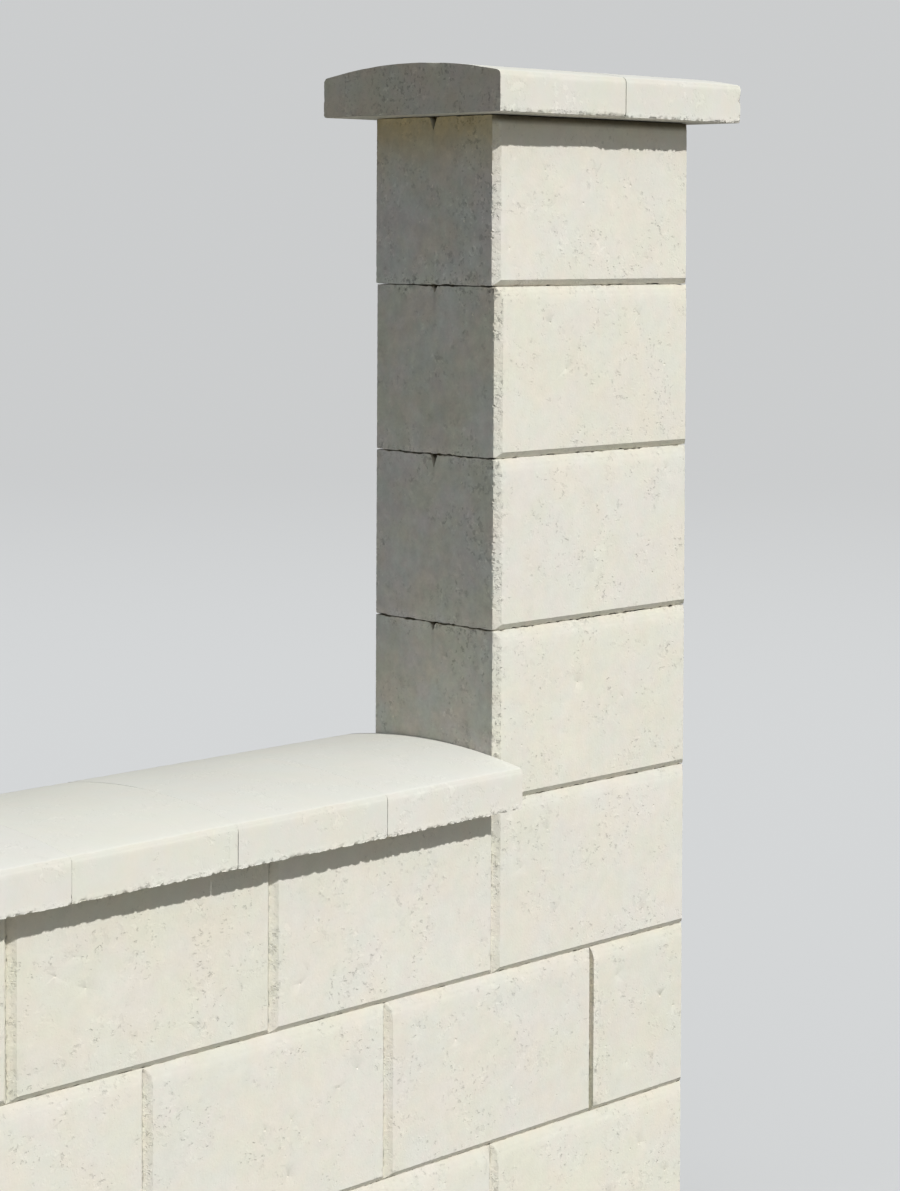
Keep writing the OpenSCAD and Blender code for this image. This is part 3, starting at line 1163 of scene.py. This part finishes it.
def floor_material():
    """A pale floor that shows the shadow, and fades into the backdrop's colour far from the wall."""
    material = bpy.data.materials.new("pale_floor")
    g = Graph(material)
    camera_ray = g.node("ShaderNodeLightPath").outputs["Is Camera Ray"]
    colour = g.mix(camera_ray, (*FLOOR_BOUNCE, 1), (*FLOOR_SEEN, 1))
    lit = g.node("ShaderNodeBsdfDiffuse", {"Color": colour, "Roughness": 0.0})
    plain = g.node("ShaderNodeEmission", {"Color": (*BACKDROP, 1), "Strength": 1.0})
    place = g.node("ShaderNodeTexCoord").outputs["Object"]
    distance = g.node("ShaderNodeVectorMath", {0: place}, operation="LENGTH").outputs["Value"]
    share = g.times(g.remap(distance, *FLOOR_FADE), camera_ray)
    mixed = g.node("ShaderNodeMixShader", {0: share, 1: lit.outputs[0], 2: plain.outputs[0]})
    g.node("ShaderNodeOutputMaterial", {"Surface": mixed.outputs[0]})
    return material


# Stage, light and camera

def make_floor():
    turns = np.linspace(0, 2 * math.pi, FLOOR_SIDES, endpoint=False)
    ring = [(FLOOR_RADIUS * math.cos(a), FLOOR_RADIUS * math.sin(a), 0) for a in turns]
    mesh = bpy.data.meshes.new("floor")
    mesh.from_pydata(ring, [], [list(range(FLOOR_SIDES))])
    mesh.materials.append(floor_material())
    floor = bpy.data.objects.new("floor", mesh)
    bpy.context.scene.collection.objects.link(floor)


def make_sky():
    """Brighter overhead and toward the front. The camera sees the backdrop's colour instead."""
    world = bpy.data.worlds.new("studio")
    bpy.context.scene.world = world
    g = Graph(world)
    toward = g.parts(g.node("ShaderNodeTexCoord").outputs["Generated"])
    heights = {"Value": toward[2], "To Min": SKY_HORIZON, "To Max": SKY_ZENITH}
    overhead = g.node("ShaderNodeMapRange", heights).outputs["Result"]
    strength = g.times(overhead, g.add(toward[1], -SKY_FRONT, 1.0))
    sky = g.node("ShaderNodeBackground", {"Color": (*SKY_COLOUR, 1), "Strength": strength})
    seen = g.node("ShaderNodeBackground", {"Color": (*BACKDROP, 1)})
    camera_ray = g.node("ShaderNodeLightPath").outputs["Is Camera Ray"]
    mixed = g.node("ShaderNodeMixShader", {0: camera_ray, 1: sky.outputs[0], 2: seen.outputs[0]})
    g.node("ShaderNodeOutputWorld", {"Surface": mixed.outputs[0]})


def make_sun():
    lamp = bpy.data.lights.new("sun", "SUN")
    lamp.energy = SUN_STRENGTH
    lamp.angle = math.radians(SUN_ANGLE)
    sun = bpy.data.objects.new("sun", lamp)
    azimuth = math.radians(SUN_AZIMUTH)
    elevation = math.radians(SUN_ELEVATION)
    toward = Vector((math.sin(azimuth) * math.cos(elevation), -math.cos(azimuth) * math.cos(elevation),
                     math.sin(elevation)))
    sun.rotation_mode = "QUATERNION"
    sun.rotation_quaternion = toward.to_track_quat("Z", "Y")
    sun.location = toward * SUN_DISTANCE
    bpy.context.scene.collection.objects.link(sun)


def make_camera():
    """The photograph's camera: where it stood, how it was turned, and what it kept of its view."""
    lens = bpy.data.cameras.new("camera")
    long_side = max(PHOTO_W, PHOTO_H)
    lens.sensor_width = SENSOR_MM
    lens.lens = FOCAL_PX / long_side * SENSOR_MM
    lens.shift_x = (PHOTO_W / 2 - PRINCIPAL_X) / long_side
    lens.shift_y = (PRINCIPAL_Y - PHOTO_H / 2) / long_side
    lens.clip_start = CLIP_START
    lens.clip_end = CLIP_END
    camera = bpy.data.objects.new("camera", lens)
    turn = Matrix.Rotation(-math.radians(CAMERA_YAW), 4, "Z")
    tilt = Matrix.Rotation(math.radians(90 - CAMERA_PITCH), 4, "X")
    roll = Matrix.Rotation(-math.radians(CAMERA_ROLL), 4, "Z")
    camera.matrix_world = Matrix.Translation(CAMERA_AT) @ turn @ tilt @ roll
    bpy.context.scene.collection.objects.link(camera)
    bpy.context.scene.camera = camera


# The wall

def sawn_end(length, centre_x):
    """Half blocks are sawn at the end toward the middle of the wall."""
    if length > 0.75 * BLOCK_LENGTH:
        return None
    return "left" if centre_x > 0 else "right"


def turned(points, angle):
    """Points turned about the Z axis."""
    along = points[:, 0] * math.cos(angle) - points[:, 1] * math.sin(angle)
    across = points[:, 0] * math.sin(angle) + points[:, 1] * math.cos(angle)
    return np.stack([along, across, points[:, 2]], axis=1)


def make_block(name, low, high, seed, rng):
    """One block, from its node's box: points in the wall's frame and its own, faces and marks."""
    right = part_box(BELOW_TOP_BLOCK)[1].x if name == TOP_BLOCK else high.x
    sawn = sawn_end(high.x - low.x, (low.x + high.x) / 2)
    length = HALF_LENGTH if sawn else BLOCK_LENGTH
    grown = rng.uniform(*END_CLOSE)
    notch_size = NOTCHES.get(name) or rng.uniform(*NOTCH_SIZES)
    wear = 1.0 if "pier" in name else SHELTERED_WEAR
    under_cap = name in CAPPED_BLOCKS
    local, faces, marks = block_mesh(length + 2 * grown, sawn, notch_size, wear, under_cap, seed)
    points = local - (length + grown, 0, 0)
    if name == TOP_BLOCK:
        points = turned(points, math.radians(-TOP_BLOCK_TURN))
    return points + (right, 0, low.z), local, faces, marks


def make_slab(name, low, high, seed):
    """One slab, in the same form as a block."""
    shown = (name.endswith("cap_slab_1"), name.endswith("cap_slab_2"))
    length = high.x - low.x + 2 * JOINT_CLOSE
    local, faces, marks = slab_mesh(length, high.z - low.z, shown, GAPING_ENDS.get(name),
                                        WORN_ENDS.get(name), LOW_WEAR.get(name, 0.0), seed)
    return local + (low.x - JOINT_CLOSE, (low.y + high.y) / 2, low.z), local, faces, marks


def make_wall():
    """Every block and slab, each in place of its node, cast from one of the two concretes."""
    block_material = concrete("block_concrete_cast", BLOCK_LOOK)
    slab_material = concrete("slab_concrete_cast", SLAB_LOOK)
    for index, name in enumerate(sorted(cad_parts)):
        low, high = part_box(name)
        seed = FIRST_SEED + index
        rng = np.random.default_rng(seed)
        is_slab = "slab" in name
        if is_slab:
            made = make_slab(name, low, high, seed)
        else:
            made = make_block(name, low, high, seed, rng)
        level = rng.uniform(*TONE_RANGE) * TONES.get(name, 1.0)
        tone = (level, level, level * rng.uniform(*BLUE_RANGE))
        shift = rng.uniform(-BATCH_REACH, BATCH_REACH, 3)
        piece = make_object(name + "_cast", *made, shift, tone)
        piece.data.materials.append(slab_material if is_slab else block_material)
        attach(piece, "root")
        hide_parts(name)


make_camera()
make_floor()
make_sky()
make_sun()
make_wall()

scene = bpy.context.scene
scene.view_settings.view_transform = "Standard"
